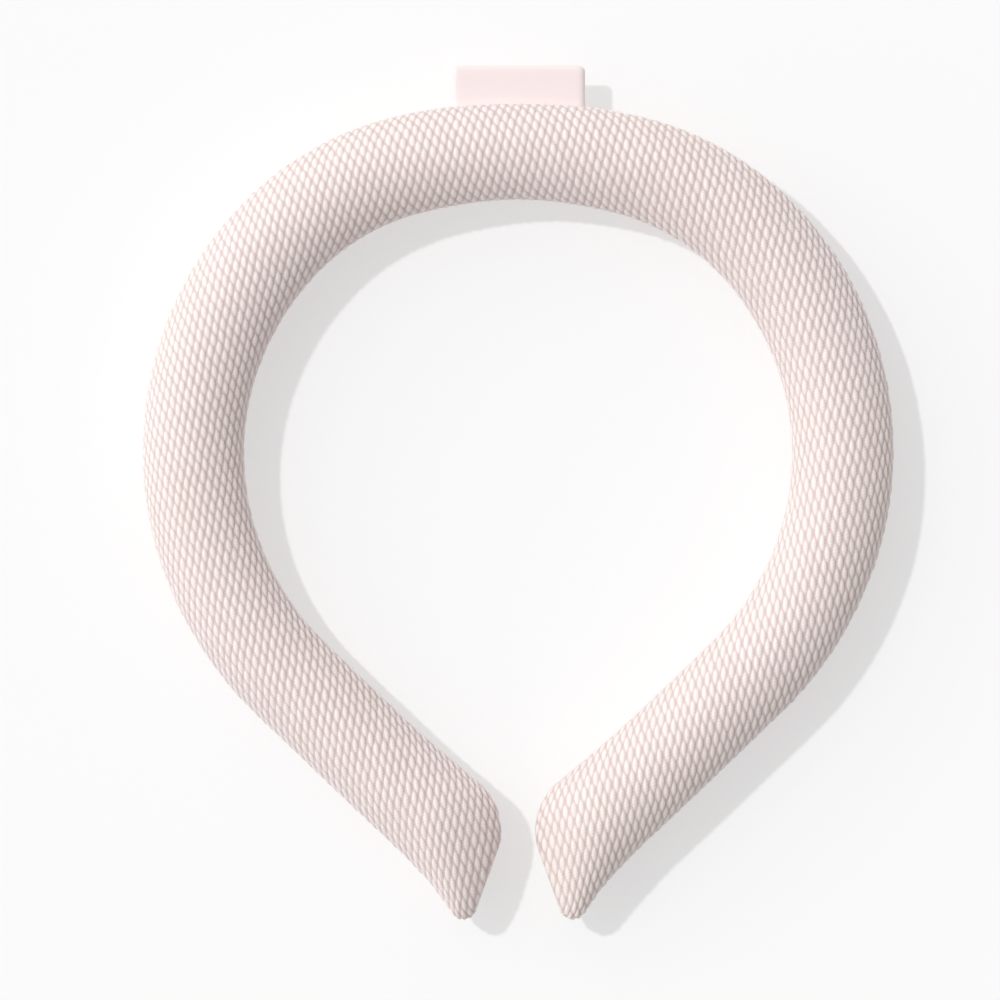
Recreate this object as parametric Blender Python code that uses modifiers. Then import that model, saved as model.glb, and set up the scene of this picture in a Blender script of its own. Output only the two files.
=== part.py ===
"""Cooling neck ring, lying flat.

A soft round tube filled with cooling gel is bent into an open ring for the neck, and a flat tab is
welded to its back. The back of the neck is toward +Y, and the two free ends face each other at -Y.
The origin lies on the surface that the ring rests on, below the middle of its outline.
"""

import math

import bmesh
import bpy
from mathutils import Vector

# Driving sizes, in metres
RING_WIDTH = 0.1656       # outside to outside, where the ring is widest
RING_LENGTH = 0.1799      # back of the tube to the tips of the ends
TUBE_WIDTH = 0.0227       # across the tube, seen from above, where the ring is widest
TUBE_HEIGHT = 0.0220      # from the surface to the top of the tube
END_GAP = 0.0070          # between the two ends, where they come closest
END_HEIGHT = 0.0060       # height of the tube on its cut end
END_TAPER = 0.0180        # length over which the tube thins towards the cut
CORNER_RADIUS = 0.0143    # rounding where the cut meets the inner edge
TIP_RADIUS = 0.0033       # rounding where the cut meets the outer edge
TAB_WIDTH = 0.0295        # tab, side to side
TAB_REACH = 0.0081        # how far the tab stands out behind the tube
TAB_THICKNESS = 0.0020
TAB_CORNER = 0.0010       # rounding of the tab's corners, seen from above
TAB_EDGE = 0.0006         # rounding of the tab's upper and lower edges
SEAT_GAP = 0.0003         # clearance between the tab and the tube
CUT_LEAN = math.radians(23.0)   # how far the cut leans from square across the tube

# The middle line starts at the back with two arcs that run into each other
# radius: share of the middle line's half width; until: heading where the arc ends, 0 is straight across
BACK_ARCS = (
    # radius, until
    (1.432, math.radians(13.7)),
    (0.817, math.radians(45.8)),
)

# Distance from the middle line to each edge, seen from above
# along: share of the half's middle line; inner, outer: shares of half the tube's width
EDGE_COLUMNS = ("along", "inner", "outer")
EDGE_ROWS = (
    (0.00, 0.950, 0.950),
    (0.10, 0.985, 0.985),
    (0.30, 1.015, 1.015),
    (0.49, 1.000, 1.000),
    (0.65, 0.990, 0.985),
    (0.86, 0.945, 1.035),
    (0.93, 1.000, 1.050),
    (0.97, 1.010, 1.110),
    (1.00, 1.010, 1.230),
)
CORNER_LEAD = 0.01        # share of the middle line between the last square section and the corner
TAPER_POWER = 0.8         # how bluntly the tube thins: 1 is a parabola, less is blunter

SECTION_SIDES = 24        # flat sides round the tube, a multiple of four
ARC_STEP = math.radians(4.5)    # heading from one section to the next
ARM_SECTIONS = 8
EDGE_SECTIONS = 5         # sections of the end along the outer edge
TIP_SECTIONS = 8          # sections of the end round the tip
CORNER_STEPS = 4          # points round a corner of the tab
ROOT_STEPS = 6            # points along half of the tab's root
TAB_EDGE_STEPS = 3        # facets round the tab's upper and lower edges
END_TRIES = 12            # moves that bring the end to its gap and length
MERGE = 0.00001           # distance that joins the two halves at the middle
SHARP = math.radians(40)  # edges steeper than this stay crisp

RING_PINK = (0.86, 0.76, 0.75)
TAB_PINK = (0.94, 0.83, 0.82)
RING_ROUGHNESS = 0.75
TAB_ROUGHNESS = 0.45


def clear_scene():
    for obj in list(bpy.data.objects):
        bpy.data.objects.remove(obj, do_unlink=True)


def material(name, colour, roughness):
    made = bpy.data.materials.new(name)
    made.use_nodes = True
    shader = made.node_tree.nodes["Principled BSDF"]
    shader.inputs["Base Color"].default_value = (*colour, 1.0)
    shader.inputs["Roughness"].default_value = roughness
    shader.inputs["Metallic"].default_value = 0.0
    return made


def along(heading):
    """Direction of travel in the plan. Heading 0 is +X and a quarter turn is -Y."""
    return Vector((math.cos(heading), -math.sin(heading)))


def outward(heading):
    """Direction from the middle line to the outer edge."""
    return Vector((math.sin(heading), math.cos(heading)))


def cross(a, b):
    return a.x * b.y - a.y * b.x


def meet(point_a, way_a, point_b, way_b):
    """Where two straight lines of the plan cross."""
    return point_a + way_a * (cross(point_b - point_a, way_b) / cross(way_a, way_b))


class MiddleLine:
    """Right half of the tube's middle line, from the back to the middle of the cut.

    Three arcs run into each other: the two of BACK_ARCS and a side arc that brings the ring to its
    width. The arm leaves the side arc smoothly and runs straight to the given end point.
    """

    def __init__(self, end):
        half = (RING_WIDTH - TUBE_WIDTH) / 2
        self.arcs = []
        place = Vector((0.0, 0.0))
        heading = 0.0
        for share, until in BACK_ARCS:
            centre = place - outward(heading) * share * half
            self.arcs.append((centre, share * half, heading, until))
            place = centre + outward(until) * share * half
            heading = until
        radius = (half - place.x) / (1 - math.sin(heading))
        centre = place - outward(heading) * radius
        to_end = end - centre
        swing = math.acos(radius / to_end.length)
        turn_off = math.atan2(to_end.x, to_end.y) % math.tau - swing
        self.arcs.append((centre, radius, heading, turn_off))
        self.arm_start = centre + outward(turn_off) * radius
        self.arm_heading = turn_off
        self.bend_length = sum(radius * (last - first) for _, radius, first, last in self.arcs)
        self.length = self.bend_length + (end - self.arm_start).length

    def at(self, distance):
        """Place and heading at a distance along the line."""
        for centre, radius, first, last in self.arcs:
            run = radius * (last - first)
            if distance <= run:
                heading = first + distance / radius
                return centre + outward(heading) * radius, heading
            distance -= run
        return self.arm_start + along(self.arm_heading) * distance, self.arm_heading

    def edge(self, share, side):
        """Point of the inner or the outer edge at a share of the line."""
        place, heading = self.at(share * self.length)
        offset = edge_offset(share, side)
        return place + outward(heading) * (offset if side == "outer" else -offset)

    def stations(self, stop):
        """Shares of the line where square sections stand, from the back to the share given."""
        found = [0.0]
        start = 0.0
        for _, radius, first, last in self.arcs:
            run = radius * (last - first)
            steps = max(1, round((last - first) / ARC_STEP))
            found += [(start + run * step / steps) / self.length for step in range(1, steps + 1)]
            start += run
        first_share = start / self.length
        arm = stop - first_share
        return found + [first_share + arm * step / ARM_SECTIONS for step in range(1, ARM_SECTIONS + 1)]

    def share_beside(self, point):
        """Share of the line beside a point of the arm."""
        return (self.bend_length + (point - self.arm_start).dot(along(self.arm_heading))) / self.length


def edge_offset(share, side):
    """Distance from the middle line to the inner or the outer edge: a smooth reading of EDGE_ROWS."""
    column = EDGE_COLUMNS.index(side)
    last = len(EDGE_ROWS) - 1
    row = max(i for i in range(last) if EDGE_ROWS[i][0] <= share)
    near = [EDGE_ROWS[min(max(i, 0), last)] for i in (row - 1, row, row + 1, row + 2)]
    spans = [b[0] - a[0] for a, b in zip(near, near[1:])]
    slopes = [(b[column] - a[column]) / span if span else 0.0 for a, b, span in zip(near, near[1:], spans)]
    leave = (slopes[0] + slopes[1]) / 2
    arrive = (slopes[1] + slopes[2]) / 2 if spans[2] else slopes[1]
    t = (share - near[1][0]) / spans[1]
    value = (
        near[1][column] * (1 + 2 * t) * (1 - t) ** 2
        + near[2][column] * t * t * (3 - 2 * t)
        + leave * spans[1] * t * (1 - t) ** 2
        - arrive * spans[1] * t * t * (1 - t)
    )
    return value * TUBE_WIDTH / 2


def rounded(point, way, cut_point, cut_way, radius, steps):
    """Points of the arc that rounds the corner from a line onto the cut, ends included.

    way points towards the corner, and cut_way points from the corner along the cut.
    """
    corner = meet(point, way, cut_point, cut_way)
    turn = way.angle(cut_way)
    reach = radius * math.tan(turn / 2)
    side = 1 if cross(way, cut_way) > 0 else -1
    centre = corner - way * reach + Vector((-way.y, way.x)) * side * radius
    spoke = corner - way * reach - centre
    points = []
    for step in range(steps + 1):
        angle = side * turn * step / steps
        points.append(centre + Vector((
            spoke.x * math.cos(angle) - spoke.y * math.sin(angle),
            spoke.x * math.sin(angle) + spoke.y * math.cos(angle),
        )))
    return points


class HalfOutline:
    """Inner and outer edge of the right half, as pairs of points that the sections join.

    Square sections stand along the line up to where the cut's inner corner begins. From there the
    inner points go round that corner, while the outer points finish the edge and go round the tip.
    """

    def __init__(self, end):
        self.line = MiddleLine(end)
        heading = self.line.arm_heading
        to_inner = -outward(heading) * math.cos(CUT_LEAN) - along(heading) * math.sin(CUT_LEAN)
        self.cut_point = end
        self.cut_normal = Vector((-to_inner.y, to_inner.x))
        if self.cut_normal.dot(along(heading)) < 0:
            self.cut_normal = -self.cut_normal

        steps = EDGE_SECTIONS + TIP_SECTIONS
        corner = self.rounded_end("inner", -to_inner, CORNER_RADIUS, steps - 1)
        tip = self.rounded_end("outer", to_inner, TIP_RADIUS, TIP_SECTIONS)
        begin = self.line.share_beside(corner[0]) - CORNER_LEAD
        finish = self.line.share_beside(tip[0])
        shares = self.line.stations(begin)
        leaning = [begin + (finish - begin) * step / EDGE_SECTIONS for step in range(1, EDGE_SECTIONS)]
        self.inner = [self.line.edge(share, "inner") for share in shares] + corner
        self.outer = [self.line.edge(share, "outer") for share in shares + leaning] + tip
        self.nearest_axis = min(point.x for point in corner)
        self.lowest = min(point.y for point in tip)

    def rounded_end(self, side, cut_way, radius, steps):
        """The arc that rounds an edge onto the cut. cut_way runs from that edge along the cut."""
        last = self.line.edge(1.0, side)
        way = (last - self.line.edge(1.0 - CORNER_LEAD, side)).normalized()
        return rounded(last, way, self.cut_point, cut_way, radius, steps)


def half_outline():
    """The half whose end keeps END_GAP and RING_LENGTH, found by moving the end point."""
    back = edge_offset(0.0, "outer")
    end = Vector((END_GAP / 2, back - RING_LENGTH))
    for _ in range(END_TRIES):
        half = HalfOutline(end)
        end = end + Vector((END_GAP / 2 - half.nearest_axis, back - RING_LENGTH - half.lowest))
    return half


def height_share(depth):
    """Height of the tube at a depth behind the cut, as a share of its full height."""
    least = END_HEIGHT / TUBE_HEIGHT
    reach = min(max(depth / END_TAPER, 0.0), 1.0)
    return least + (1 - least) * (1 - (1 - reach) ** 2) ** TAPER_POWER


def section(inner, outer, half, shift):
    """One closed ring of points between an inner and an outer point of the outline."""
    middle = (inner + outer) / 2
    reach = (outer - inner) / 2
    stretch = 1 / math.cos(math.pi / SECTION_SIDES)
    points = []
    for side in range(SECTION_SIDES):
        angle = math.tau * (side + 0.5) / SECTION_SIDES
        plan = middle + reach * math.cos(angle) * stretch
        depth = (half.cut_point - plan).dot(half.cut_normal)
        rise = math.sin(angle) * stretch * height_share(depth) * TUBE_HEIGHT / 2
        points.append((plan.x, plan.y + shift, TUBE_HEIGHT / 2 + rise))
    return points


def finish_mesh(name, build, collection, look):
    """Turns a built bmesh into a smooth object of its own."""
    mesh = bpy.data.meshes.new(name)
    build.to_mesh(mesh)
    build.free()
    mesh.materials.append(look)
    mesh.shade_smooth()
    mesh.set_sharp_from_angle(angle=SHARP)
    obj = bpy.data.objects.new(name, mesh)
    collection.objects.link(obj)
    return obj


def ring_tube(collection, half, shift):
    """The gel-filled tube: right half lofted through its sections, and mirrored."""
    build = bmesh.new()
    rings = []
    for inner, outer in zip(half.inner, half.outer):
        rings.append([build.verts.new(point) for point in section(inner, outer, half, shift)])
    for ring, following in zip(rings, rings[1:]):
        for side in range(SECTION_SIDES):
            after = (side + 1) % SECTION_SIDES
            build.faces.new((ring[side], ring[after], following[after], following[side]))
    build.faces.new(rings[-1])
    look = material("mesh_fabric_pink", RING_PINK, RING_ROUGHNESS)
    obj = finish_mesh("ring_tube", build, collection, look)
    mirror = obj.modifiers.new("other half", "MIRROR")
    mirror.use_axis = (True, False, False)
    mirror.merge_threshold = MERGE


def tab_outline(half, shift):
    """Plan of the tab: its root follows the back of the tube, its outer corners are round."""
    side_x = TAB_WIDTH / 2
    back = edge_offset(0.0, "outer")
    root_share = side_x / half.line.length
    root = []
    for step in range(ROOT_STEPS + 1):
        share = root_share * step / ROOT_STEPS
        _, heading = half.line.at(share * half.line.length)
        root.append(half.line.edge(share, "outer") + outward(heading) * SEAT_GAP)
    slope = (root[-1] - root[-2]) / (root[-1].x - root[-2].x)
    root[-1] = root[-1] + slope * (side_x - root[-1].x)
    far = back + TAB_REACH
    centre = Vector((side_x - TAB_CORNER, far - TAB_CORNER))
    right = list(root)
    for step in range(CORNER_STEPS + 1):
        angle = math.pi / 2 * step / CORNER_STEPS
        right.append(centre + Vector((math.cos(angle), math.sin(angle))) * TAB_CORNER)
    left = [Vector((-point.x, point.y)) for point in reversed(right[1:])]
    return [(point.x, point.y + shift) for point in right + left], len(root)


def back_tab(collection, half, shift):
    """Flat tab at half the tube's height, with its free edges rounded."""
    outline, root_points = tab_outline(half, shift)
    build = bmesh.new()
    low = TUBE_HEIGHT / 2 - TAB_THICKNESS / 2
    face = build.faces.new([build.verts.new((x, y, low)) for x, y in outline])
    top = bmesh.ops.extrude_face_region(build, geom=[face])
    raised = [item for item in top["geom"] if isinstance(item, bmesh.types.BMVert)]
    bmesh.ops.translate(build, verts=raised, vec=(0.0, 0.0, TAB_THICKNESS))
    bmesh.ops.recalc_face_normals(build, faces=build.faces)
    root = {(round(x, 7), round(y, 7)) for x, y in outline[:root_points]}
    root |= {(round(-x, 7), round(y, 7)) for x, y in outline[:root_points]}
    rim = []
    for edge in build.edges:
        level = abs(edge.verts[0].co.z - edge.verts[1].co.z) < TAB_THICKNESS / 2
        on_root = all((round(v.co.x, 7), round(v.co.y, 7)) in root for v in edge.verts)
        if level and not on_root:
            rim.append(edge)
    bmesh.ops.bevel(build, geom=rim, offset=TAB_EDGE, segments=TAB_EDGE_STEPS, profile=0.5, affect="EDGES")
    finish_mesh("back_tab", build, collection, material("tab_film_pink", TAB_PINK, TAB_ROUGHNESS))


def main():
    clear_scene()
    collection = bpy.data.collections.new("cooling_neck_ring")
    bpy.context.scene.collection.children.link(collection)
    half = half_outline()
    shift = (RING_LENGTH - TAB_REACH) / 2 - edge_offset(0.0, "outer")
    ring_tube(collection, half, shift)
    back_tab(collection, half, shift)


main()
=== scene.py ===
import math

import bmesh
import bpy
import numpy as np
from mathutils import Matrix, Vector


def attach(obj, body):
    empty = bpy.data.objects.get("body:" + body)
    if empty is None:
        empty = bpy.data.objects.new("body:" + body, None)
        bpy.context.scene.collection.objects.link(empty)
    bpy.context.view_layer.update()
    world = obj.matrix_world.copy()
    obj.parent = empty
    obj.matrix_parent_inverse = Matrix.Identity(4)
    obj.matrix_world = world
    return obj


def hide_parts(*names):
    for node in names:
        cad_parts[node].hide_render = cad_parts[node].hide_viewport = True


# The looks of a cooling neck ring that lies flat on a table, seen from straight above.
# The round tube gets a cover of lozenge mesh in real relief, an upper and a lower sheet that meet in
# a seam at half height. The tab gets a smooth moulded skin. All sizes are in metres.

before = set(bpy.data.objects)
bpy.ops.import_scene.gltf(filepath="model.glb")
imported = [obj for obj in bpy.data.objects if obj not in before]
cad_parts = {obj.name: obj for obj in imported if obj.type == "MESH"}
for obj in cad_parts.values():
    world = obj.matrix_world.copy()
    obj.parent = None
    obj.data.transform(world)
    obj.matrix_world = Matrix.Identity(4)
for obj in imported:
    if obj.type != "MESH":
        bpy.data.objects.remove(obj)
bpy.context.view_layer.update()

MM = 0.001

# Driving sizes, the same as in the solids
RING_WIDTH = 0.1656
RING_LENGTH = 0.1799
TUBE_WIDTH = 0.0227
TUBE_HEIGHT = 0.0220
END_GAP = 0.0070
END_HEIGHT = 0.0060
END_TAPER = 0.0180
CORNER_RADIUS = 0.0143
TIP_RADIUS = 0.0033
TAB_WIDTH = 0.0295
TAB_REACH = 0.0081
TAB_THICKNESS = 0.0020
CUT_LEAN = math.radians(23.0)
BACK_ARCS = (
    # radius, until
    (1.432, math.radians(13.7)),
    (0.817, math.radians(45.8)),
)
EDGE_COLUMNS = ("along", "inner", "outer")
EDGE_ROWS = (
    (0.00, 0.950, 0.950),
    (0.10, 0.985, 0.985),
    (0.30, 1.015, 1.015),
    (0.49, 1.000, 1.000),
    (0.65, 0.990, 0.985),
    (0.86, 0.945, 1.035),
    (0.93, 1.000, 1.050),
    (0.97, 1.010, 1.110),
    (1.00, 1.010, 1.230),
)
CORNER_LEAD = 0.01
TAPER_POWER = 0.8
END_TRIES = 12

# Fineness of the middle line that the cover is laid along
ARC_STEP = math.radians(1.5)
ARM_SECTIONS = 24
EDGE_SECTIONS = 12
TIP_SECTIONS = 16

# The flat mesh sheet. Its two sets of lines are waves over the plan: (cycles per metre in x, in y),
# and how those change over the sheet (xx, xy, yy, in cycles per square metre)
LATTICE = {
    "u": ((585.6, -119.5), (-147.0, -192.0, -155.0)),
    "v": ((-448.5, -266.4), (-336.0, 488.0, -285.0)),
}
# Places across one lozenge where its surface has points. The groove lies at -0.5
CELL_U = (-0.50, -0.35, -0.12, 0.12, 0.35)
CELL_V = (-0.50, -0.36, -0.18, 0.0, 0.18, 0.36)
DRAPE = 0.30              # 1: the sheet keeps its plan, 0: it keeps its length round the tube
RELIEF = 0.50 * MM        # depth of the groove below the top of a lozenge
GRAIN_LONG = 0.76         # half length of a lozenge's raised grain, as a share of half the lozenge
GRAIN_SHORT = 0.76        # half width of the grain, in the same way
GRAIN_POINT = 1.75        # the grain's outline: 2 is an ellipse, 1 a lozenge
GRAIN_FOOT = 1.20         # the grain's slope ends here, in grain radii
GRAIN_POWER = 2.0         # how flat the grain is on top
CELL_UNEVEN = 0.16        # how much lower some lozenges are, as a share of the relief
WANDER = 0.11 * MM        # how far the mesh's lines stray from their even run
WANDER_WAVES = (
    # waves per metre in x and y, direction of the shift, in turns
    (61.0, 97.0, 0.05),
    (-113.0, 47.0, 0.31),
    (29.0, -151.0, 0.62),
    (173.0, 83.0, 0.84),
)
SEAM_WIDTH = 0.7 * MM     # the relief dies out over this width beside the seam
SEAM_SINK = 0.60          # how deep the seam lies, as a share of the relief
END_ROUND = 1.1 * MM      # rounding of the end, from its top to the seam
END_BLUNT = 0.6           # how squarely the end drops to the seam: 1 is round, less is blunter
SEAM_SPREAD = 721         # readings kept of the drape from one seam to the other
SNAP = 0.16 * MM          # points nearer to the seam than this are moved onto it
SEAM_EVEN = 6.0 * MM      # the seam line is evened out this far from the cut
SEAM_PASSES = 14
MARGIN = 6.0 * MM         # points further outside the seam than this are dropped
NEAREST_BATCH = 20000     # points looked up at a time
PLACE_TRIES = 40          # most sections that a point moves along to find its own
PHASE_TRIES = 8           # steps that find the place of a phase on the sheet
DRAW_MIX = (12.9898, 78.233)
DRAW_SCALE = 43758.5453   # turns a lozenge's number into a draw that looks random


# The plan of the tube

def along(heading):
    """Direction of travel in the plan. Heading 0 is +X and a quarter turn is -Y."""
    return Vector((math.cos(heading), -math.sin(heading)))


def outward(heading):
    return Vector((math.sin(heading), math.cos(heading)))


def cross(a, b):
    return a[0] * b[1] - a[1] * b[0]


def edge_offset(share, side):
    """Distance from the middle line to the inner or the outer edge: a smooth reading of EDGE_ROWS."""
    column = EDGE_COLUMNS.index(side)
    last = len(EDGE_ROWS) - 1
    row = max(i for i in range(last) if EDGE_ROWS[i][0] <= share)
    near = [EDGE_ROWS[min(max(i, 0), last)] for i in (row - 1, row, row + 1, row + 2)]
    spans = [b[0] - a[0] for a, b in zip(near, near[1:])]
    slopes = [(b[column] - a[column]) / span if span else 0.0 for a, b, span in zip(near, near[1:], spans)]
    leave = (slopes[0] + slopes[1]) / 2
    arrive = (slopes[1] + slopes[2]) / 2 if spans[2] else slopes[1]
    t = (share - near[1][0]) / spans[1]
    value = (
        near[1][column] * (1 + 2 * t) * (1 - t) ** 2
        + near[2][column] * t * t * (3 - 2 * t)
        + leave * spans[1] * t * (1 - t) ** 2
        - arrive * spans[1] * t * t * (1 - t)
    )
    return value * TUBE_WIDTH / 2


class MiddleLine:
    """Right half of the tube's middle line: the arcs of the back, a side arc, and a straight arm."""

    def __init__(self, end):
        half = (RING_WIDTH - TUBE_WIDTH) / 2
        self.arcs = []
        place = Vector((0.0, 0.0))
        heading = 0.0
        for share, until in BACK_ARCS:
            centre = place - outward(heading) * share * half
            self.arcs.append((centre, share * half, heading, until))
            place = centre + outward(until) * share * half
            heading = until
        radius = (half - place.x) / (1 - math.sin(heading))
        centre = place - outward(heading) * radius
        to_end = end - centre
        swing = math.acos(radius / to_end.length)
        turn_off = math.atan2(to_end.x, to_end.y) % math.tau - swing
        self.arcs.append((centre, radius, heading, turn_off))
        self.arm_start = centre + outward(turn_off) * radius
        self.arm_heading = turn_off
        self.bend_length = sum(radius * (last - first) for _, radius, first, last in self.arcs)
        self.length = self.bend_length + (end - self.arm_start).length

    def at(self, distance):
        for centre, radius, first, last in self.arcs:
            run = radius * (last - first)
            if distance <= run:
                heading = first + distance / radius
                return centre + outward(heading) * radius, heading
            distance -= run
        return self.arm_start + along(self.arm_heading) * distance, self.arm_heading

    def edge(self, share, side):
        place, heading = self.at(share * self.length)
        offset = edge_offset(share, side)
        return place + outward(heading) * (offset if side == "outer" else -offset)

    def stations(self, stop):
        found = [0.0]
        start = 0.0
        for _, radius, first, last in self.arcs:
            run = radius * (last - first)
            steps = max(1, round((last - first) / ARC_STEP))
            found += [(start + run * step / steps) / self.length for step in range(1, steps + 1)]
            start += run
        first_share = start / self.length
        arm = stop - first_share
        return found + [first_share + arm * step / ARM_SECTIONS for step in range(1, ARM_SECTIONS + 1)]

    def share_beside(self, point):
        return (self.bend_length + (point - self.arm_start).dot(along(self.arm_heading))) / self.length


def rounded(point, way, cut_point, cut_way, radius, steps):
    """Points of the arc that rounds the corner from an edge onto the cut."""
    corner = point + way * (cross(cut_point - point, cut_way) / cross(way, cut_way))
    turn = way.angle(cut_way)
    reach = radius * math.tan(turn / 2)
    side = 1 if cross(way, cut_way) > 0 else -1
    centre = corner - way * reach + Vector((-way.y, way.x)) * side * radius
    spoke = corner - way * reach - centre
    points = []
    for step in range(steps + 1):
        angle = side * turn * step / steps
        points.append(centre + Vector((
            spoke.x * math.cos(angle) - spoke.y * math.sin(angle),
            spoke.x * math.sin(angle) + spoke.y * math.cos(angle),
        )))
    return points


class HalfOutline:
    """Inner and outer points of the right half, in pairs that a section of the tube joins."""

    def __init__(self, end):
        self.line = MiddleLine(end)
        heading = self.line.arm_heading
        to_inner = -outward(heading) * math.cos(CUT_LEAN) - along(heading) * math.sin(CUT_LEAN)
        self.cut_point = end
        self.cut_normal = Vector((-to_inner.y, to_inner.x))
        if self.cut_normal.dot(along(heading)) < 0:
            self.cut_normal = -self.cut_normal
        steps = EDGE_SECTIONS + TIP_SECTIONS
        corner = self.rounded_end("inner", -to_inner, CORNER_RADIUS, steps - 1)
        tip = self.rounded_end("outer", to_inner, TIP_RADIUS, TIP_SECTIONS)
        begin = self.line.share_beside(corner[0]) - CORNER_LEAD
        finish = self.line.share_beside(tip[0])
        shares = self.line.stations(begin)
        leaning = [begin + (finish - begin) * step / EDGE_SECTIONS for step in range(1, EDGE_SECTIONS)]
        self.inner = [self.line.edge(share, "inner") for share in shares] + corner
        self.outer = [self.line.edge(share, "outer") for share in shares + leaning] + tip
        self.nearest_axis = min(point.x for point in corner)
        self.lowest = min(point.y for point in tip)

    def rounded_end(self, side, cut_way, radius, steps):
        last = self.line.edge(1.0, side)
        way = (last - self.line.edge(1.0 - CORNER_LEAD, side)).normalized()
        return rounded(last, way, self.cut_point, cut_way, radius, steps)


def half_outline():
    back = edge_offset(0.0, "outer")
    end = Vector((END_GAP / 2, back - RING_LENGTH))
    for _ in range(END_TRIES):
        half = HalfOutline(end)
        end = end + Vector((END_GAP / 2 - half.nearest_axis, back - RING_LENGTH - half.lowest))
    return half


# The cover

def drape(angle):
    """Place on the flat sheet, in tube radii, of a point at this angle from the top of the tube."""
    return DRAPE * np.sin(angle) + (1 - DRAPE) * angle


DRAPE_EDGE = float(drape(math.pi / 2))
DRAPE_ANGLES = np.linspace(-math.pi / 2, math.pi / 2, SEAM_SPREAD)
DRAPE_PLACES = drape(DRAPE_ANGLES)


class Tube:
    """Lays the flat sheet over the upper half of the tube."""

    def __init__(self, half):
        self.shift = (RING_LENGTH - TAB_REACH) / 2 - edge_offset(0.0, "outer")
        up = np.array([0.0, self.shift])
        inner = np.array([tuple(point) for point in half.inner]) + up
        outer = np.array([tuple(point) for point in half.outer]) + up
        flip = np.array([-1.0, 1.0])
        inner = np.concatenate([inner[:0:-1] * flip, inner])
        outer = np.concatenate([outer[:0:-1] * flip, outer])
        self.middle = (inner + outer) / 2
        self.reach = np.linalg.norm(outer - inner, axis=1) / 2
        self.way = (outer - inner) / (2 * self.reach[:, None])
        self.cut_point = np.array(tuple(half.cut_point)) + up
        self.cut_normal = np.array(tuple(half.cut_normal))

    def sheet_box(self):
        """Corners of a box round the whole flat sheet, which reaches further out than the tube does."""
        out = self.way * (self.reach * DRAPE_EDGE)[:, None]
        rim = np.concatenate([self.middle - out, self.middle + out])
        return rim.min(0) - MARGIN, rim.max(0) + MARGIN

    def depth(self, plan):
        """How far a point of the plan lies behind the cut on its side of the ring."""
        return (self.cut_point - np.stack([np.abs(plan[:, 0]), plan[:, 1]], 1)) @ self.cut_normal

    def off_cut(self, sheet):
        """The end's own rounding: its angle at each point, and the points with that rounding taken out."""
        depth = self.depth(sheet)
        angle = np.interp(1 - depth / END_ROUND, DRAPE_PLACES, DRAPE_ANGLES)
        angle = np.where(depth < END_ROUND, np.maximum(angle, 0.0), 0.0)
        back = np.where(depth < END_ROUND, END_ROUND * (1 - np.sin(angle)) - depth, 0.0)
        normal_x = np.sign(sheet[:, 0]) * self.cut_normal[0]
        normal_y = np.full(len(sheet), self.cut_normal[1])
        side = np.stack([normal_x, normal_y], 1)
        over = depth - END_ROUND * (1 - DRAPE_EDGE)
        return angle, sheet - side * back[:, None], over

    def place(self, sheet):
        """Section, share to the next one, and place across the tube (1 is one radius) of each point."""
        nearest = np.empty(len(sheet), int)
        for start in range(0, len(sheet), NEAREST_BATCH):
            part = sheet[start:start + NEAREST_BATCH]
            away = ((part[:, None, :] - self.middle[None]) ** 2).sum(2)
            nearest[start:start + NEAREST_BATCH] = away.argmin(1)
        last = len(self.middle) - 2
        index = np.clip(nearest, 0, last)
        for _ in range(PLACE_TRIES):
            ahead = self.ahead(index + 1, sheet) > 0
            behind = self.ahead(index, sheet) < 0
            moved = np.clip(index + ahead.astype(int) - behind.astype(int), 0, last)
            if (moved == index).all():
                break
            index = moved
        here = self.ahead(index, sheet)
        there = self.ahead(index + 1, sheet)
        share = here / (here - there)
        share = np.clip(share, 0.0, 1.0)
        middle, way, reach = self.section(index, share)
        across = ((sheet - middle) * way).sum(1) / reach
        return index, share, across

    def ahead(self, index, sheet):
        return -cross(self.way[index].T, (sheet - self.middle[index]).T)

    def section(self, index, share):
        s = share[:, None]
        middle = self.middle[index] * (1 - s) + self.middle[index + 1] * s
        way = self.way[index] * (1 - s) + self.way[index + 1] * s
        reach = self.reach[index] * (1 - share) + self.reach[index + 1] * share
        return middle, way / np.linalg.norm(way, axis=1)[:, None], reach

    def fit(self, sheet):
        """The sheet's points on the tube, and their distance on the sheet inside the seam."""
        end_angle, flat, over_cut = self.off_cut(sheet)
        index, share, across = self.place(flat)
        middle, way, reach = self.section(index, share)
        inside = np.minimum((DRAPE_EDGE - np.abs(across)) * reach, over_cut)
        angle = np.interp(across, DRAPE_PLACES, DRAPE_ANGLES)
        plan = middle + way * (reach * np.sin(angle))[:, None]
        depth = np.clip(self.depth(plan) / END_TAPER, 0.0, 1.0)
        least = END_HEIGHT / TUBE_HEIGHT
        height = least + (1 - least) * (1 - (1 - depth) ** 2) ** TAPER_POWER
        round_side = np.maximum(np.cos(angle), 0.0) ** (END_BLUNT + (1 - END_BLUNT) * depth)
        round_end = np.maximum(np.cos(end_angle), 0.0) ** END_BLUNT
        rise = TUBE_HEIGHT / 2 * height * round_side * round_end
        return np.column_stack([plan, TUBE_HEIGHT / 2 + rise]), inside


def lattice(plan, name):
    """Phase of one set of the mesh's lines, and its slope."""
    (fx, fy), (xx, xy, yy) = LATTICE[name]
    x, y = plan[:, 0], plan[:, 1]
    phase = fx * x + fy * y + (xx * x * x + 2 * xy * x * y + yy * y * y) / 2
    return phase, np.stack([fx + xx * x + xy * y, fy + xy * x + yy * y], 1)


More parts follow.
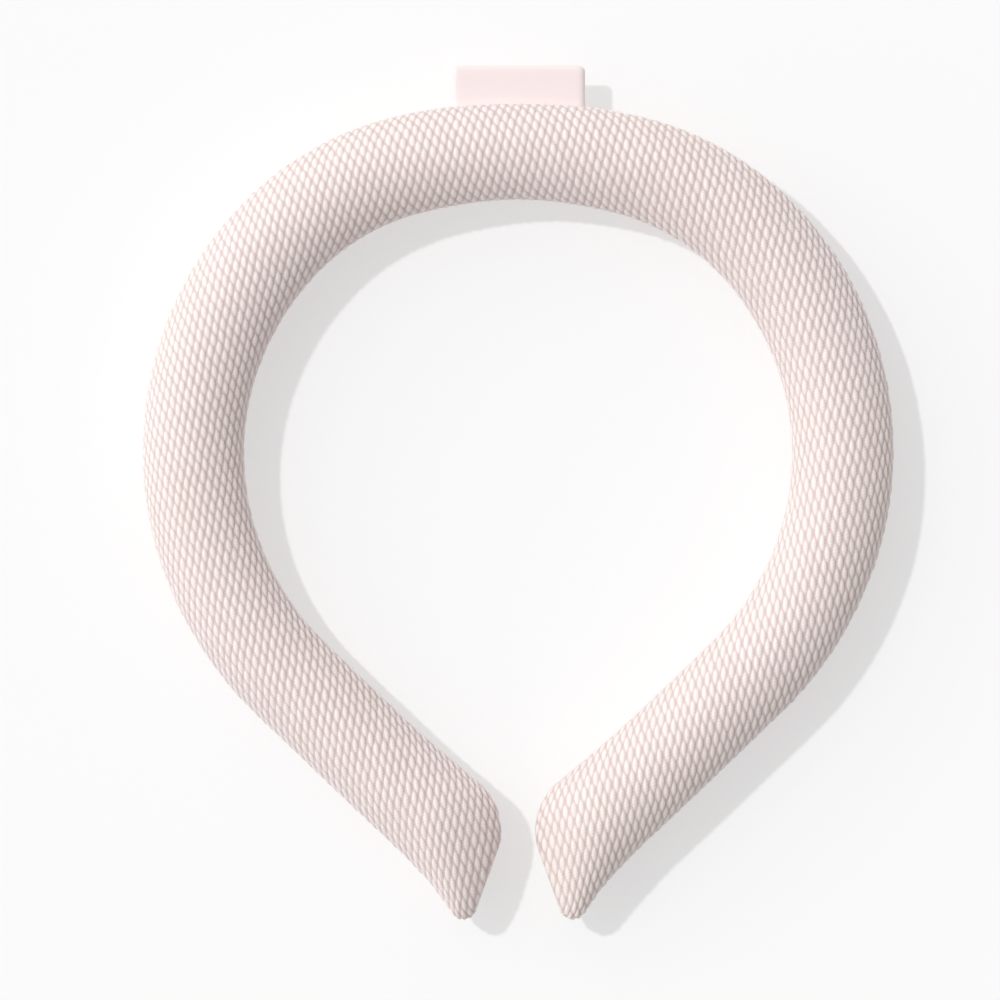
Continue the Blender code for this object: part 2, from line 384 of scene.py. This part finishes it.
def lattice_points(u, v):
    """Points of the flat sheet where the two phases have the values given."""
    plan = np.zeros((len(u), 2))
    for _ in range(PHASE_TRIES):
        pu, gu = lattice(plan, "u")
        pv, gv = lattice(plan, "v")
        du, dv = u - pu, v - pv
        det = cross(gu.T, gv.T)
        plan[:, 0] += (du * gv[:, 1] - dv * gu[:, 1]) / det
        plan[:, 1] += (dv * gu[:, 0] - du * gv[:, 0]) / det
    return plan


def strayed(plan):
    """The sheet's points with the small unevenness of a real net."""
    shift = np.zeros_like(plan)
    for x, y, turn in WANDER_WAVES:
        wave = np.sin(math.tau * (x * plan[:, 0] + y * plan[:, 1] + turn))
        shift += wave[:, None] * (math.cos(math.tau * turn), math.sin(math.tau * turn))
    return plan + shift * WANDER / 2


def cell_steps(low, high, steps):
    """Phases from low to high at the places across each lozenge."""
    cells = np.arange(math.floor(low), math.ceil(high) + 1)
    return (cells[:, None] + np.array(steps)).ravel()


def cover_grid(tube):
    """Points of the upper sheet in lozenge order: their phases, and the grid's faces by index."""
    box_low, box_high = tube.sheet_box()
    corners = np.array([(x, y) for x in (box_low[0], box_high[0]) for y in (box_low[1], box_high[1])])
    u = cell_steps(lattice(corners, "u")[0].min(), lattice(corners, "u")[0].max(), CELL_U)
    v = cell_steps(lattice(corners, "v")[0].min(), lattice(corners, "v")[0].max(), CELL_V)
    uu, vv = np.meshgrid(u, v, indexing="ij")
    sheet = strayed(lattice_points(uu.ravel(), vv.ravel()))
    box = ((sheet > box_low) & (sheet < box_high)).all(1)
    inside = np.full(len(sheet), -1.0)
    inside[box] = tube.fit(sheet[box])[1]
    number = np.arange(len(sheet)).reshape(len(u), len(v))
    faces = np.stack([number[:-1, :-1], number[1:, :-1], number[1:, 1:], number[:-1, 1:]], -1).reshape(-1, 4)
    near = (inside[faces] > -MARGIN).all(1) & (inside[faces] > 0).any(1)
    return sheet, np.stack([uu.ravel(), vv.ravel()], 1), inside, faces[near]


def clip_to_seam(sheet, phase, inside, faces):
    """Cuts the faces off at the seam. Returns the points, their phases, which lie on the seam, and faces."""
    seam = np.abs(inside) < SNAP
    keep = (inside > 0) | seam
    whole = keep[faces].all(1) & ~seam[faces].all(1)
    made = [tuple(face) for face in faces[whole].tolist()]
    extra_sheet, extra_phase, cuts = [], [], {}

    def cut(a, b):
        key = (min(a, b), max(a, b))
        if key not in cuts:
            share = inside[a] / (inside[a] - inside[b])
            cuts[key] = len(sheet) + len(extra_sheet)
            extra_sheet.append(sheet[a] * (1 - share) + sheet[b] * share)
            extra_phase.append(phase[a] * (1 - share) + phase[b] * share)
        return cuts[key]

    for face in faces[~whole].tolist():
        found = []
        for a, b in zip(face, face[1:] + face[:1]):
            if keep[a]:
                found.append(a)
            if keep[a] != keep[b] and not seam[a] and not seam[b]:
                found.append(cut(a, b))
        if len(found) >= 3 and not all(point < len(sheet) and seam[point] for point in found):
            if any(point < len(sheet) and keep[point] and not seam[point] for point in found):
                made.append(tuple(found))
    sheet = np.concatenate([sheet, np.array(extra_sheet)])
    phase = np.concatenate([phase, np.array(extra_phase)])
    seam = np.concatenate([seam, np.ones(len(extra_sheet), bool)])
    used = np.unique(np.concatenate([np.array(face) for face in made]))
    renumber = np.full(len(sheet), -1)
    renumber[used] = np.arange(len(used))
    return sheet[used], phase[used], seam[used], [tuple(renumber[list(face)]) for face in made]


def cell_height(phase):
    """Height of the mesh, 1 on top of a lozenge and 0 where two grooves cross."""
    cell = np.round(phase)
    off = phase - cell
    draw = np.sin(cell @ DRAW_MIX) * DRAW_SCALE
    top = 1 - CELL_UNEVEN * (draw - np.floor(draw))
    long = np.abs(off.sum(1) / GRAIN_LONG)
    short = np.abs((off[:, 0] - off[:, 1]) / GRAIN_SHORT)
    rim = (long ** GRAIN_POINT + short ** GRAIN_POINT) ** (1 / GRAIN_POINT)
    return top * (1 - np.minimum(rim / GRAIN_FOOT, 1) ** GRAIN_POWER)


def new_mesh(name, points, faces, phase, inside):
    mesh = bpy.data.meshes.new(name)
    mesh.from_pydata(points.tolist(), [], faces)
    kept = mesh.attributes.new("lattice", "FLOAT_VECTOR", "POINT")
    kept.data.foreach_set("vector", np.column_stack([phase, inside / MM]).astype(np.float32).ravel())
    mesh.shade_smooth()
    return mesh


def even_seam(points, faces, tube):
    """Takes the small steps out of the seam line where it turns onto the cut of the ends."""
    uses = {}
    for face in faces:
        for a, b in zip(face, face[1:] + face[:1]):
            edge = (min(a, b), max(a, b))
            uses[edge] = uses.get(edge, 0) + 1
    first, second = np.array([edge for edge, count in uses.items() if count == 1]).T
    number = np.zeros(len(points))
    np.add.at(number, first, 1)
    np.add.at(number, second, 1)
    moved = (number > 0) & (tube.depth(points[:, :2]) < SEAM_EVEN)
    for _ in range(SEAM_PASSES):
        total = np.zeros_like(points)
        np.add.at(total, first, points[second])
        np.add.at(total, second, points[first])
        points[moved] = (points[moved] + total[moved] / number[moved, None]) / 2


def covers(tube):
    """Upper and lower sheet of the mesh cover, which meet at the seam."""
    sheet, phase, seam, faces = clip_to_seam(*cover_grid(tube))
    points, inside = tube.fit(sheet)
    points[seam, 2] = TUBE_HEIGHT / 2
    even_seam(points, faces, tube)
    inside = np.where(seam, 0.0, np.maximum(inside, 0.0))
    mesh = new_mesh("upper_cover", points, faces, phase, inside)
    normals = np.empty(len(points) * 3, np.float32)
    mesh.vertex_normals.foreach_get("vector", normals)
    normals = normals.reshape(-1, 3).astype(float)
    if normals[:, 2].mean() < 0:
        faces = [face[::-1] for face in faces]
        normals = -normals
    normals[seam, 2] = 0.0
    normals /= np.linalg.norm(normals, axis=1)[:, None]
    fade = np.clip(inside / SEAM_WIDTH, 0.0, 1.0)
    fade = fade * fade * (3 - 2 * fade)
    sink = (1 - cell_height(phase)) * fade + SEAM_SINK * (1 - fade)
    points = points - normals * (RELIEF * sink)[:, None]
    below = points * (1, 1, -1) + (0, 0, TUBE_HEIGHT)
    turned = [face[::-1] for face in faces]
    made = []
    for name, places, around in (("upper_cover", points, faces), ("lower_cover", below, turned)):
        obj = bpy.data.objects.new(name, new_mesh(name, places, around, phase, inside))
        bpy.context.scene.collection.objects.link(obj)
        made.append(obj)
    return made


# The tab

TAB_CORNER = 1.4 * MM
TAB_ROUND = 1.2 * MM      # width of the rounding along the tab's free edges
TAB_ROOT = 1.0 * MM       # how far the tab runs in under the cover
TAB_FLARE = 0.5 * MM      # how far each face of the tab rises where it meets the tube
TAB_FLARE_RUN = 0.8 * MM
TAB_STEPS = (0.0, 0.04, 0.12, 0.25, 0.42, 0.65, 1.0)   # rows over the rounding, as shares of it
TAB_ACROSS = 28
TAB_DOWN = 12
TAB_MERGE = 0.001 * MM    # points of the two faces closer than this are one


def edge_steps(length, both, count):
    """Places from 0 to length, close together over the rounding at the far end, or at both ends."""
    near = [TAB_ROUND * step for step in TAB_STEPS]
    start = near if both else [0.0]
    end = [length - place for place in reversed(near)]
    span = end[0] - start[-1]
    return start + [start[-1] + span * step / count for step in range(1, count)] + end


def tab(half, tube):
    """Thin moulded tab. It thickens into the back of the tube and runs in under the cover."""
    side_x = TAB_WIDTH / 2
    far = edge_offset(0.0, "outer") + TAB_REACH
    columns = edge_steps(TAB_WIDTH, True, TAB_ACROSS)
    centre = half.line.arcs[0][0]
    radius = half.line.arcs[0][1] + edge_offset(0.0, "outer")
    points = []
    for x in columns:
        x -= side_x
        back = centre.y + math.sqrt(radius ** 2 - x ** 2)
        for step in edge_steps(far - back + TAB_ROOT, False, TAB_DOWN):
            y = back - TAB_ROOT + step
            over = Vector((abs(x) - (side_x - TAB_CORNER), y - (far - TAB_CORNER)))
            inside = min(side_x - abs(x), far - y)
            here = Vector((x, y))
            if min(over) > 0:
                turned = over * (max(over) / over.length)
                side = side_x - TAB_CORNER + turned.x
                here = Vector((math.copysign(side, x), far - TAB_CORNER + turned.y))
            share = min(inside / TAB_ROUND, 1.0)
            thick = TAB_THICKNESS / 2 * math.sqrt(1 - (1 - share) ** 2)
            near = min(max(1 - (y - back) / TAB_FLARE_RUN, 0.0), 1.0)
            thick += TAB_FLARE * near ** 3 * math.sqrt(share)
            points.append((here.x, here.y + tube.shift, thick))
    rows = len(points) // len(columns)
    build = bmesh.new()
    sheets = []
    for side in (1, -1):
        verts = [build.verts.new((x, y, TUBE_HEIGHT / 2 + side * thick)) for x, y, thick in points]
        sheets.append([verts[i * rows:(i + 1) * rows] for i in range(len(columns))])
        for near, following in zip(sheets[-1], sheets[-1][1:]):
            for i in range(rows - 1):
                face = (near[i], following[i], following[i + 1], near[i + 1])
                build.faces.new(face if side > 0 else face[::-1])
    top, bottom = sheets
    for i in range(len(columns) - 1):
        build.faces.new((top[i][0], bottom[i][0], bottom[i + 1][0], top[i + 1][0]))
    bmesh.ops.remove_doubles(build, verts=build.verts, dist=TAB_MERGE)
    bmesh.ops.recalc_face_normals(build, faces=build.faces)
    mesh = bpy.data.meshes.new("tab_film")
    build.to_mesh(mesh)
    build.free()
    mesh.shade_smooth()
    obj = bpy.data.objects.new("tab_film", mesh)
    bpy.context.scene.collection.objects.link(obj)
    return obj


# Materials

class Shader:
    """Small helper that adds nodes to a material and joins them."""

    def __init__(self, name):
        self.material = bpy.data.materials.new(name)
        self.material.use_nodes = True
        self.tree = self.material.node_tree
        self.base = self.tree.nodes["Principled BSDF"]

    def set(self, node, key, value):
        socket = node.inputs[key]
        if isinstance(value, bpy.types.NodeSocket):
            self.tree.links.new(value, socket)
        else:
            socket.default_value = value

    def math(self, operation, a, b=0.0):
        made = self.tree.nodes.new("ShaderNodeMath")
        made.operation = operation
        self.set(made, 0, a)
        self.set(made, 1, b)
        return made.outputs[0]

    def ramp(self, value, low, high):
        made = self.tree.nodes.new("ShaderNodeMapRange")
        made.interpolation_type = "SMOOTHSTEP"
        self.set(made, "Value", value)
        made.inputs["From Min"].default_value = low
        made.inputs["From Max"].default_value = high
        return made.outputs[0]

    def mix(self, share, first, second):
        made = self.tree.nodes.new("ShaderNodeMix")
        made.data_type = "RGBA"
        for key, value in (("Factor", share), ("A", first), ("B", second)):
            socket = next(s for s in made.inputs if s.name == key and s.enabled)
            if isinstance(value, bpy.types.NodeSocket):
                self.tree.links.new(value, socket)
            else:
                socket.default_value = value
        return next(s for s in made.outputs if s.enabled)

    def noise(self, scale, detail, vector):
        made = self.tree.nodes.new("ShaderNodeTexNoise")
        made.inputs["Scale"].default_value = scale
        made.inputs["Detail"].default_value = detail
        self.tree.links.new(vector, made.inputs["Vector"])
        return made.outputs["Fac"]

    def bump(self, height, distance, strength):
        made = self.tree.nodes.new("ShaderNodeBump")
        made.inputs["Distance"].default_value = distance
        made.inputs["Strength"].default_value = strength
        self.tree.links.new(height, made.inputs["Height"])
        return made.outputs["Normal"]


CELL_PINK = (0.89, 0.802, 0.792, 1.0)
CELL_CREAM = (0.89, 0.800, 0.758, 1.0)
CELL_DULL = (0.71, 0.605, 0.585, 1.0)
NET_MAUVE = (0.655, 0.535, 0.515, 1.0)
SEAM_PINK = (0.74, 0.64, 0.63, 1.0)
TAB_PINK = (0.872, 0.752, 0.745, 1.0)
TAB_PALE = (0.872, 0.765, 0.757, 1.0)
WHITE = (1.0, 1.0, 1.0, 1.0)

NET_NOISE = 260.0         # cycles per metre of the unevenness of the net lines
NET_JITTER = 0.2
NET_EDGE = (0.50, 1.10)   # the grain fades into the net line between these, in grain radii
PATCH_NOISE = 38.0
PATCH_EDGE = (0.40, 0.66)
DULL_SHARE = 0.22         # how far the dullest lozenge goes to the dull colour
SEAM_EDGE = (0.5, 0.1)    # the seam's colour begins and is full at these millimetres from it
YARNS = 4.0               # yarns across one side of a lozenge
YARN_HEIGHT = 0.5
FUZZ_NOISE = 2600.0
YARN_BUMP = 0.05 * MM
YARN_STRENGTH = 0.5
FABRIC_ROUGHNESS = 0.62
FABRIC_SPECULAR = 0.35
FABRIC_SHEEN = 0.4
FILM_NOISE = 120.0
FILM_GRAIN = 1500.0
FILM_BUMP = 0.03 * MM
FILM_STRENGTH = 0.35
FILM_ROUGHNESS = 0.38
FLOOR_NOISE = 3.0
FLOOR_UNEVEN = 0.005
FLOOR_ROUGHNESS = 0.9


def mesh_fabric():
    """Pale pink lozenges of fine yarn between mauve net lines."""
    s = Shader("mesh_cover")
    where = s.tree.nodes.new("ShaderNodeAttribute")
    where.attribute_name = "lattice"
    split = s.tree.nodes.new("ShaderNodeSeparateXYZ")
    s.tree.links.new(where.outputs["Vector"], split.inputs[0])
    u, v, inside = split.outputs
    off_u = s.math("SUBTRACT", u, s.math("ROUND", u))
    off_v = s.math("SUBTRACT", v, s.math("ROUND", v))
    long = s.math("ABSOLUTE", s.math("DIVIDE", s.math("ADD", off_u, off_v), GRAIN_LONG))
    short = s.math("ABSOLUTE", s.math("DIVIDE", s.math("SUBTRACT", off_u, off_v), GRAIN_SHORT))
    both = s.math("ADD", s.math("POWER", long, GRAIN_POINT), s.math("POWER", short, GRAIN_POINT))
    line = s.math("POWER", both, 1 / GRAIN_POINT)
    place = s.tree.nodes.new("ShaderNodeTexCoord").outputs["Object"]
    uneven = s.noise(NET_NOISE, 2.0, place)
    line = s.math("ADD", line, s.math("MULTIPLY", s.math("SUBTRACT", uneven, 0.5), NET_JITTER))
    net = s.ramp(line, *NET_EDGE)
    patches = s.noise(PATCH_NOISE, 1.0, place)
    cell = s.mix(s.ramp(patches, *PATCH_EDGE), CELL_PINK, CELL_CREAM)
    own = s.tree.nodes.new("ShaderNodeCombineXYZ")
    s.tree.links.new(s.math("ROUND", u), own.inputs[0])
    s.tree.links.new(s.math("ROUND", v), own.inputs[1])
    dice = s.tree.nodes.new("ShaderNodeTexWhiteNoise")
    s.tree.links.new(own.outputs[0], dice.inputs["Vector"])
    cell = s.mix(s.math("MULTIPLY", dice.outputs["Value"], DULL_SHARE), cell, CELL_DULL)
    colour = s.mix(net, cell, NET_MAUVE)
    colour = s.mix(s.ramp(inside, *SEAM_EDGE), colour, SEAM_PINK)
    yarn = s.math("SINE", s.math("MULTIPLY", s.math("ADD", u, v), math.tau * YARNS))
    fuzz = s.noise(FUZZ_NOISE, 3.0, place)
    height = s.math("ADD", s.math("MULTIPLY", yarn, YARN_HEIGHT), fuzz)
    s.set(s.base, "Normal", s.bump(height, YARN_BUMP, YARN_STRENGTH))
    s.set(s.base, "Base Color", colour)
    s.set(s.base, "Roughness", FABRIC_ROUGHNESS)
    s.set(s.base, "Specular IOR Level", FABRIC_SPECULAR)
    s.set(s.base, "Sheen Weight", FABRIC_SHEEN)
    s.set(s.base, "Sheen Roughness", FABRIC_SHEEN)
    return s.material


def tab_film():
    """Smooth moulded film, satin, with a faint grain."""
    s = Shader("tab_film")
    place = s.tree.nodes.new("ShaderNodeTexCoord").outputs["Object"]
    s.set(s.base, "Base Color", s.mix(s.noise(FILM_NOISE, 2.0, place), TAB_PINK, TAB_PALE))
    s.set(s.base, "Roughness", FILM_ROUGHNESS)
    s.set(s.base, "Normal", s.bump(s.noise(FILM_GRAIN, 3.0, place), FILM_BUMP, FILM_STRENGTH))
    return s.material


def floor_paper():
    """Plain white sheet with a little light of its own."""
    s = Shader("floor")
    place = s.tree.nodes.new("ShaderNodeTexCoord").outputs["Object"]
    dark = (FLOOR_WHITE, FLOOR_WHITE, FLOOR_WHITE, 1.0)
    pale = (*[FLOOR_WHITE + FLOOR_UNEVEN] * 3, 1.0)
    s.set(s.base, "Base Color", s.mix(s.noise(FLOOR_NOISE, 1.0, place), dark, pale))
    s.set(s.base, "Emission Color", WHITE)
    s.set(s.base, "Emission Strength", FLOOR_GLOW)
    s.set(s.base, "Roughness", FLOOR_ROUGHNESS)
    s.set(s.base, "Specular IOR Level", 0.0)
    return s.material


# Stage, light and camera

FLOOR_SIZE = 8.0
SUN_FROM = (-0.85, 0.53)
SUN_ELEVATION = math.radians(57.0)
FLOOR_WHITE = 0.49
FLOOR_GLOW = 0.449        # the table is a lit white sheet, which keeps its shadows pale
SUN_STRENGTH = 1.363
SUN_ANGLE = math.radians(2.5)
SKY_STRENGTH = 0.565
SKY_LIT = 0.80            # how much brighter the sky is low down on the sun's side
SKY_FAR = 0.25            # how much darker it is on the side away from the sun
VIEW_SIZE = 0.220         # what the picture shows, at the height of the ring's middle
VIEW_CENTRE = (-0.00396, -0.00154)
CAMERA_HEIGHT = 1.6
CAMERA_NEAR = 0.01
CAMERA_FAR = 50.0
SENSOR = 36.0


def floor():
    mesh = bpy.data.meshes.new("floor")
    far = FLOOR_SIZE / 2
    corners = [(-far, -far, 0), (far, -far, 0), (far, far, 0), (-far, far, 0)]
    mesh.from_pydata(corners, [], [(0, 1, 2, 3)])
    mesh.materials.append(floor_paper())
    obj = bpy.data.objects.new("floor", mesh)
    bpy.context.scene.collection.objects.link(obj)


def lights():
    x, y = Vector(SUN_FROM).normalized() * math.cos(SUN_ELEVATION)
    to_sun = Vector((x, y, math.sin(SUN_ELEVATION)))
    sun = bpy.data.lights.new("key", "SUN")
    sun.energy = SUN_STRENGTH
    sun.angle = SUN_ANGLE
    lamp = bpy.data.objects.new("key", sun)
    lamp.rotation_mode = "QUATERNION"
    lamp.rotation_quaternion = to_sun.to_track_quat("Z", "Y")
    bpy.context.scene.collection.objects.link(lamp)

    world = bpy.data.worlds.new("sky")
    world.use_nodes = True
    tree = world.node_tree
    background = tree.nodes["Background"]
    background.inputs["Color"].default_value = WHITE
    coordinate = tree.nodes.new("ShaderNodeTexCoord")
    facing = tree.nodes.new("ShaderNodeVectorMath")
    facing.operation = "DOT_PRODUCT"
    tree.links.new(coordinate.outputs["Generated"], facing.inputs[0])
    facing.inputs[1].default_value = (*Vector(SUN_FROM).normalized(), 0.0)
    strength = SKY_STRENGTH
    for end, change in ((1.0, SKY_LIT), (-1.0, -SKY_FAR)):
        spread = tree.nodes.new("ShaderNodeMapRange")
        spread.inputs["From Max"].default_value = end
        spread.inputs["To Max"].default_value = change
        tree.links.new(facing.outputs["Value"], spread.inputs["Value"])
        total = tree.nodes.new("ShaderNodeMath")
        total.inputs[1].default_value = SKY_STRENGTH
        tree.links.new(spread.outputs[0], total.inputs[0])
        if strength is not SKY_STRENGTH:
            tree.links.new(strength, total.inputs[1])
        strength = total.outputs[0]
    tree.links.new(strength, background.inputs["Strength"])
    bpy.context.scene.world = world


def camera():
    data = bpy.data.cameras.new("camera")
    data.sensor_width = SENSOR
    data.lens = SENSOR * (CAMERA_HEIGHT - TUBE_HEIGHT / 2) / VIEW_SIZE
    data.clip_start = CAMERA_NEAR
    data.clip_end = CAMERA_FAR
    obj = bpy.data.objects.new("camera", data)
    obj.location = (*VIEW_CENTRE, CAMERA_HEIGHT)
    bpy.context.scene.collection.objects.link(obj)
    bpy.context.scene.camera = obj


def main():
    bpy.context.scene.view_settings.view_transform = "Standard"
    half = half_outline()
    tube = Tube(half)
    fabric = mesh_fabric()
    for cover in covers(tube):
        cover.data.materials.append(fabric)
        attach(cover, "root")
        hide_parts("ring_tube")
    film = tab(half, tube)
    film.data.materials.append(tab_film())
    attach(film, "root")
    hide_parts("back_tab")
    floor()
    lights()
    camera()


main()
